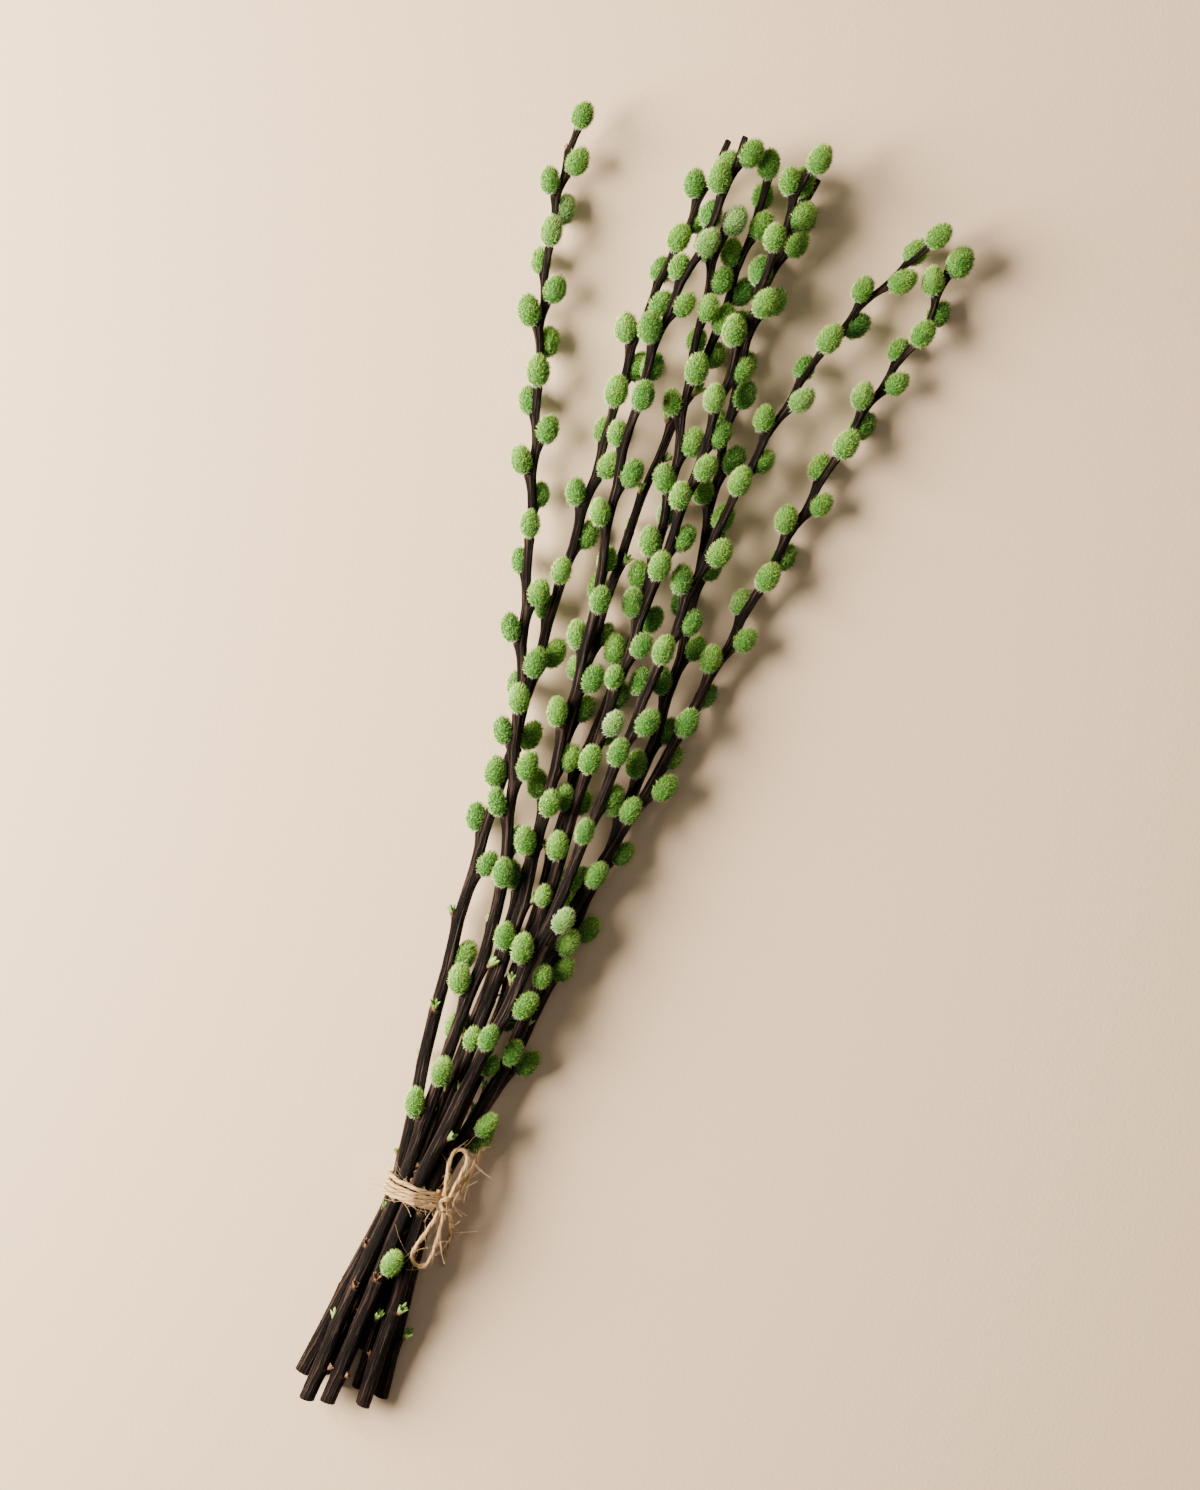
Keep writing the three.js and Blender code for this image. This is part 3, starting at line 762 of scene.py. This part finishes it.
bark, shader, start = new_material("willow_bark")
shader.inputs["Specular IOR Level"].default_value = 0.13
shader.inputs["Specular Tint"].default_value = (1.0, 0.86, 0.80, 1)
place = start.node("ShaderNodeTexCoord", out=3)
along, crest = attribute(start, "along"), attribute(start, "crest")
scar, pith = attribute(start, "scar"), attribute(start, "pith")
ridge = attribute(start, "ridge")
around = start.node("ShaderNodeCombineXYZ", {
    0: attribute(start, "around_x") * 3.0, 1: attribute(start, "around_y") * 3.0,
    2: along * 0.045})
wrinkle = start.node("ShaderNodeTexNoise", {
    "Vector": around, "Scale": 0.85, "Detail": 5.0, "Roughness": 0.62})
furrow = start.node("ShaderNodeTexNoise", {
    "Vector": around, "Scale": 2.1, "Detail": 3.0, "Roughness": 0.55, "Distortion": 0.2})
patch = start.node("ShaderNodeTexNoise", {"Vector": place, "Scale": 45.0, "Detail": 4.0})
fleck = start.node("ShaderNodeTexNoise", {"Vector": place, "Scale": 900.0, "Detail": 2.0})
# The bark is painted mostly near black, with lighter lengthwise lines on the ridges: partly its own
# dark striped bark, partly painted shade between the ridges.
lines = ((wrinkle + ridge * 0.20 - 0.515) * 7).clamped()
brown = ((patch - 0.52) * 3.2).clamped().mixed(rgb(0.062, 0.036, 0.026), rgb(0.078, 0.027, 0.015))
brown = lines.mixed(rgb(0.0016, 0.0009, 0.0008), brown)
# Painted shade: the deepest furrows are darkened almost to black.
brown = (((furrow - 0.51) * 9).clamped() * 0.85).mixed(brown, rgb(0.0012, 0.0007, 0.0006))
# Painted highlight: pale grey-brown satin lines along the ridge tops.
brown = (((0.40 - furrow) * 12).clamped() * lines * 0.7).mixed(brown, rgb(0.12, 0.082, 0.066))
brown = (((fleck - 0.66) * 9).clamped() * 0.4).mixed(brown, rgb(0.085, 0.05, 0.036))
brown = (crest * 0.08).clamped().mixed(brown, rgb(0.030, 0.018, 0.014))
brown = ((scar - 0.35) * 0.9).clamped().mixed(brown, rgb(0.10, 0.050, 0.030))
wood = ((pith - 0.80) * 9).clamped().mixed(rgb(0.20, 0.125, 0.075), rgb(0.05, 0.025, 0.015))
brown = ((pith - 0.16) * 9).clamped().mixed(brown, wood)
bump = start.node("ShaderNodeBump", {
    "Height": wrinkle - furrow * 0.6, "Strength": 1.0, "Distance": 0.0026})
feed(bark, shader, base_color=brown, normal=bump, roughness=0.72 - lines * 0.36)

for index, twig in enumerate(TWIGS):
    stem = stem_piece(index, twig)
    stem.data.materials.append(bark)
    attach(stem, "root")
    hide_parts(twig["name"])

# ---- catkins -----------------------------------------------------------------------------
# Each opened bud is an egg of dense silky fur, green with paler tips. The hairs lie towards
# the catkin's end, stand a little proud all over it and are whitish where it joins the stem.

BODY_SHARE = 0.93                     # of the catkin's size; its hairs make up the rest
BODY_TAPER = -0.08
HAIR_LENGTH = 2.0
HAIR_WIDTH = 0.17
HAIRS_PER_MM2 = 2.6
HAIR_STRAY = 0.4
HAIR_LENGTHS = (0.6, 1.2)
PALE_CATKIN = ("twig_8", 0.9)         # the lone catkin below the tie is a pale one


def catkin_tree():
    """A furry egg on each point, along its own axis."""
    t = Tree("catkin_fur", radius=CATKIN_RADIUS * MM, half_length=CATKIN_LENGTH / 2 * MM,
             hair_length=HAIR_LENGTH * MM, hair_width=HAIR_WIDTH * MM,
             hair_density=HAIRS_PER_MM2 * 1e6, seed=1, fur=None)
    egg = t.node("GeometryNodeMeshUVSphere", {
        "Segments": 16, "Rings": 10, "Radius": 1.0})["Mesh"]
    x, y, z = t.parts(t.position())
    egg = t.stored(egg, "rise", z)
    width = t.maths("MULTIPLY_ADD", z, BODY_TAPER, BODY_SHARE)
    width = t.maths("MULTIPLY", width, t.given["Radius"])
    length = t.maths("MULTIPLY", t.given["Half Length"], BODY_SHARE)
    egg = t.moved(egg, t.point(
        t.maths("MULTIPLY", x, width), t.maths("MULTIPLY", y, width),
        t.maths("MULTIPLY", z, length)))
    turn = t.aimed(t.named("axis", "FLOAT_VECTOR"), t.named("out", "FLOAT_VECTOR"))
    bodies = t.placed(t.given["Points"], egg, turn, t.named("size", "FLOAT_VECTOR"))
    spread = t.node("GeometryNodeDistributePointsOnFaces", {
        "Mesh": bodies, "Density": t.given["Hair Density"], "Seed": t.given["Seed"]})
    lie = t.vector("ADD", t.vector("SCALE", spread["Normal"], scale=0.75),
                   t.vector("SCALE", t.named("axis", "FLOAT_VECTOR"), scale=0.5))
    stray = t.node("FunctionNodeRandomValue", {
        "Min": (-HAIR_STRAY,) * 3, "Max": (HAIR_STRAY,) * 3, "Seed": t.given["Seed"]},
        data_type="FLOAT_VECTOR")[0]
    lean = t.node("FunctionNodeAlignRotationToVector", {
        "Vector": t.vector("ADD", lie, stray)}, axis="Z")[0]
    spike = t.node("GeometryNodeMeshCone", {
        "Vertices": 3, "Radius Top": 0.0, "Radius Bottom": t.given["Hair Width"],
        "Depth": t.given["Hair Length"]}, fill_type="NGON")["Mesh"]
    height = t.maths("DIVIDE", t.parts(t.position())[2], t.given["Hair Length"])
    spike = t.stored(spike, "hair", height)
    longer = t.random(t.maths("ADD", t.given["Seed"], 7.0), *HAIR_LENGTHS)
    strand = t.random(t.maths("ADD", t.given["Seed"], 3.0))
    roots = t.stored(spread["Points"], "strand", strand)
    hairs = t.placed(roots, spike, lean, longer)
    return t.finish(t.joined(hairs, bodies), t.given["Fur"])


fur, shader, start = new_material(
    "catkin_fur", roughness=0.85, sheen_weight=0.14, sheen_roughness=0.4,
    subsurface_weight=0.08)
shader.inputs["Subsurface Scale"].default_value = 0.002
shader.inputs["Subsurface Radius"].default_value = (0.6, 1.0, 0.3)
shader.inputs["Sheen Tint"].default_value = (0.85, 1.0, 0.7, 1)
rise, hair = attribute(start, "rise"), attribute(start, "hair")
tone, strand = attribute(start, "tone"), attribute(start, "strand")
place = start.node("ShaderNodeTexCoord", out=3)
fuzz = start.node("ShaderNodeTexNoise", {
    "Vector": place, "Scale": 1300.0, "Detail": 2.0, "Roughness": 0.6})
cloud = start.node("ShaderNodeTexNoise", {"Vector": place, "Scale": 260.0, "Detail": 2.0})
green = ((fuzz - 0.40) * 5.0).clamped().mixed(rgb(0.012, 0.12, 0.003), rgb(0.27, 0.75, 0.028))
deep = (((cloud - 0.44) * 2.6).clamped() * 0.7 + (0.3 - tone) * 1.5).clamped()
green = deep.mixed(green, rgb(0.026, 0.27, 0.014))
pale = ((rise * 0.5 + tone * 0.75 + fuzz * 0.9 - 0.72) * 1.3).clamped()
green = pale.mixed(green, rgb(0.46, 0.86, 0.10))
dim = ((0.42 - strand) * 3).clamped() * 0.75
green = dim.mixed(green, rgb(0.008, 0.085, 0.003))
lit = ((hair - 0.15) * 1.5).clamped() * ((strand - 0.42) * 2.6).clamped()
green = lit.mixed(green, rgb(0.84, 1.0, 0.30))
silver = ((tone - 0.93) * 30).clamped() * (hair * 1.4).clamped() * (cloud * 1.1)
green = silver.mixed(green, rgb(0.80, 0.90, 0.62))
white = ((0.0 - rise - 0.74) * 4).clamped() * (hair * 1.4).clamped() * 0.8
feed(fur, shader, base_color=white.mixed(green, rgb(0.80, 0.86, 0.62)))

tree = catkin_tree()
for index, twig in enumerate(TWIGS):
    grown = twig["catkins"]
    values = {label: [catkin[label] for catkin in grown] for label in ("axis", "out")}
    values["tone"] = [chance(index, number, 5) for number in range(len(grown))]
    if twig["name"] == PALE_CATKIN[0]:
        values["tone"][0] = PALE_CATKIN[1]
    full = [0.90 + 0.20 * (catkin["s"] / twig["length"] - 0.4) for catkin in grown]
    slim = [k * (0.95 + 0.10 * chance(index, number, 9)) for number, k in enumerate(full)]
    values["size"] = [
        np.array([k, k, 0.62 + 0.42 * k]) * catkin["size"] for k, catkin in zip(slim, grown)]
    catkins = grown_piece(
        f"{twig['name']}_catkins", tree, [catkin["centre"] for catkin in grown], values,
        {"Seed": index + 1, "Fur": fur})
    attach(catkins, "root")
    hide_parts(twig["name"])

# ---- shut buds and scales ----------------------------------------------------------------
# Buds that have not opened are small tufts of pale green leaf tips in brown scales, or brown
# scales alone. Each sits on its shoulder of the stem, and a few catkins keep a scale too.

PETALS = 8
PETAL_THICK = 0.10                    # this and the next three are shares of a bud's length
PETAL_WIDE = 0.21
PETAL_FLARE = 0.42
BUD_RING = 0.16
BUD_LENGTH = 6.4                      # of the shortest leafy bud
BUD_LONGER = 3.0
BROWN_BUD = 0.65                      # a brown bud's length against a leafy one's
SHUT_BELOW_TIE = 0.75                 # the chance that a bud is brown
SHUT_ABOVE_TIE = 0.30
SCALE_KEPT = 0.22                     # the chance that a catkin keeps a scale


def bud_tree():
    """A tuft of pointed scales on each point, along its own axis."""
    t = Tree("bud_scales", petals=PETALS, seed=1, skin=None)
    leaf = t.node("GeometryNodeMeshUVSphere", {
        "Segments": 6, "Rings": 5, "Radius": 1.0})["Mesh"]
    x, y, z = t.parts(t.position())
    rise = t.maths("MULTIPLY_ADD", z, 0.5, 0.5)
    leaf = t.stored(leaf, "rise", rise)
    flare = t.maths("MULTIPLY", t.maths("MULTIPLY", rise, rise), PETAL_FLARE)
    thick, wide = t.maths("MULTIPLY_ADD", x, PETAL_THICK, flare), t.maths("MULTIPLY", y, PETAL_WIDE)
    leaf = t.moved(leaf, t.point(thick, wide, rise))
    ring = t.node("GeometryNodeMeshCircle", {
        "Vertices": t.given["Petals"], "Radius": BUD_RING})[0]
    longer = t.random(t.given["Seed"], 0.65, 1.1)
    tuft = t.placed(ring, leaf, t.aimed((0.0, 0.0, 1.0), t.position()), longer)
    turn = t.aimed(t.named("axis", "FLOAT_VECTOR"), t.named("out", "FLOAT_VECTOR"))
    tufts = t.placed(t.given["Points"], tuft, turn, t.named("size", "FLOAT_VECTOR"))
    return t.finish(tufts, t.given["Skin"])


skin, shader, start = new_material("bud_skin", roughness=0.6, subsurface_weight=0.1)
shader.inputs["Subsurface Scale"].default_value = 0.001
rise, leafy = attribute(start, "rise"), attribute(start, "leafy")
place = start.node("ShaderNodeTexCoord", out=3)
mottle = start.node("ShaderNodeTexNoise", {"Vector": place, "Scale": 700.0, "Detail": 3.0})
scale = ((mottle - 0.4) * 2.5).clamped().mixed(rgb(0.10, 0.04, 0.018), rgb(0.42, 0.20, 0.09))
tip = ((mottle - 0.38) * 2.8).clamped().mixed(rgb(0.06, 0.22, 0.02), rgb(0.46, 0.56, 0.15))
colour = ((rise * 1.3 + leafy * 1.3 - 1.65) * 3).clamped().mixed(scale, tip)
bump = start.node("ShaderNodeBump", {"Height": mottle, "Strength": 0.4, "Distance": 0.0003})
feed(skin, shader, base_color=colour, normal=bump)

tree = bud_tree()
for index, twig in enumerate(TWIGS):
    at, axes, outs, sizes, leafy = [], [], [], [], []
    for number, (s, degrees, catkin) in enumerate(twig["buds"]):
        if catkin and chance(index, number, 8) > SCALE_KEPT:
            continue
        point, ahead, side, up = place_at(twig, s)
        out = side * math.cos(math.radians(degrees)) + up * math.sin(math.radians(degrees))
        crowded = min(1.0, 0.35 + abs(point[1] - TIE[1]) / 60)
        shut = SHUT_BELOW_TIE if point[1] < TIE[1] else SHUT_ABOVE_TIE
        green = 0.0 if catkin or chance(index, number, 6) < shut else 1.0
        tall = BUD_LENGTH + BUD_LONGER * chance(index, number, 7)
        tall = tall * (1.0 if green else BROWN_BUD) * crowded
        share = min(max((s / twig["length"] - 0.25) / 0.3, 0), 1)
        stand = 0.55 * (SHOULDER_OLD + (SHOULDER_YOUNG - SHOULDER_OLD) * share) * crowded
        at.append(point + out * (stem_radius(twig, s) + stand - 0.6) - ahead * 0.6)
        axes.append(ahead * 0.75 + out * (0.4 if catkin is None else 0.1))
        outs.append(out)
        sizes.append(np.array([0.72, 0.72, 1.0]) * tall * MM)
        leafy.append(green)
    buds = grown_piece(
        f"{twig['name']}_buds", tree, at,
        {"axis": axes, "out": outs, "size": sizes, "leafy": leafy},
        {"Seed": index + 1, "Skin": skin})
    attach(buds, "root")

# ---- table and light ---------------------------------------------------------------------
# The bunch lies on a plain pale table top, painted matt. One large soft lamp stands low on
# the left like a window, with a weak lamp above and a weak even light all round.

HALF_TABLE = 3
WINDOW_PLACE = (-1.34, -0.12, 0.74)
CEILING_PLACE = (0.2, 0.3, 3.0)

corners = [(-1, -1), (1, -1), (1, 1), (-1, 1)]
floor_mesh = bpy.data.meshes.new("table_top")
floor_mesh.from_pydata(
    [(x * HALF_TABLE, y * HALF_TABLE, 0) for x, y in corners], [], [(0, 1, 2, 3)])
floor = bpy.data.objects.new("table_top", floor_mesh)
bpy.context.scene.collection.objects.link(floor)
table, shader, start = new_material("table_paint", roughness=0.85)
place = start.node("ShaderNodeTexCoord", out=3)
grain = start.node("ShaderNodeTexNoise", {"Vector": place, "Scale": 500.0, "Detail": 3.0})
bump = start.node("ShaderNodeBump", {"Height": grain, "Strength": 0.3, "Distance": 0.0004})
paint = grain.mixed(rgb(0.85, 0.62, 0.40), rgb(0.90, 0.67, 0.45))
feed(table, shader, normal=bump, base_color=paint)
floor_mesh.materials.append(table)


def soft_lamp(name, location, size, power, colour):
    """A round soft lamp that faces the bunch."""
    lamp = bpy.data.lights.new(name, "AREA")
    lamp.shape = "DISK"
    lamp.size = size
    lamp.energy = power
    lamp.color = colour
    holder = bpy.data.objects.new(name, lamp)
    holder.location = location
    holder.rotation_euler = (-Vector(location)).to_track_quat("-Z", "Y").to_euler()
    bpy.context.scene.collection.objects.link(holder)


soft_lamp("window", WINDOW_PLACE, size=1.3, power=148, colour=(1.0, 0.92, 0.81))
soft_lamp("ceiling", CEILING_PLACE, size=2.5, power=5, colour=(1.0, 0.95, 0.90))
world = bpy.data.worlds.new("room")
world.use_nodes = True
world.node_tree.nodes["Background"].inputs[0].default_value = (1.0, 0.95, 0.9, 1)
world.node_tree.nodes["Background"].inputs[1].default_value = 0.15
bpy.context.scene.world = world
